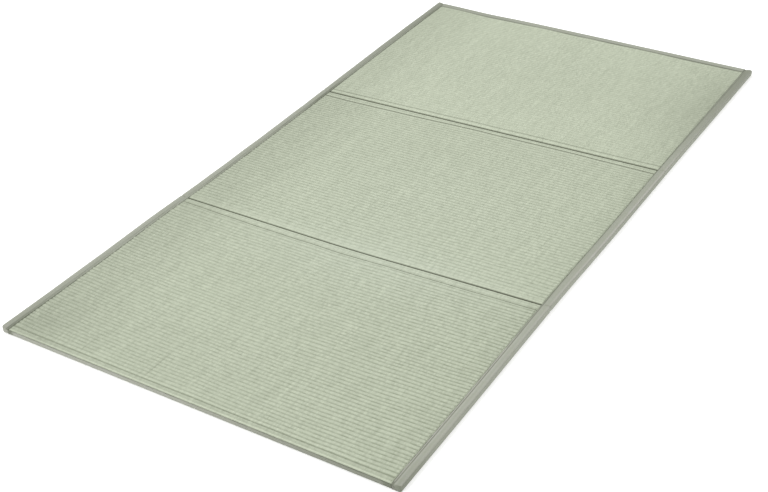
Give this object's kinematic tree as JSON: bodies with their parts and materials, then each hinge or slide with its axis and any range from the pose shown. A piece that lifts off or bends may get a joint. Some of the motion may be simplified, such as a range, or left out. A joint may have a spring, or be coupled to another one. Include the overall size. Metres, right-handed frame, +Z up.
{
  "type": "folding tatami mat",
  "caption": "Flat rectangular rush floor mat of panels folded open side by side, ribbed across its width, with cloth tape over its long sides and a cloth strip at each short end.",
  "frame": {"origin": "on the floor, under the middle of the mat", "axes": "+X across the mat from its left long side to its right, +Y from the near short end to the far one, +Z up from the floor"},
  "size_m": [1, 1.9, 0.015],
  "materials": {
    "rush": "dry ribbed rush weave, faded grey-green",
    "binding": "matt woven tape, grey-green"
  },
  "bodies": {
    "root": {"rush_panel_near": "rush", "rush_panel_middle": "rush", "rush_panel_far": "rush", "binding_left": "binding", "binding_right": "binding", "binding_near": "binding", "binding_far": "binding"}
  },
  "joints": []
}
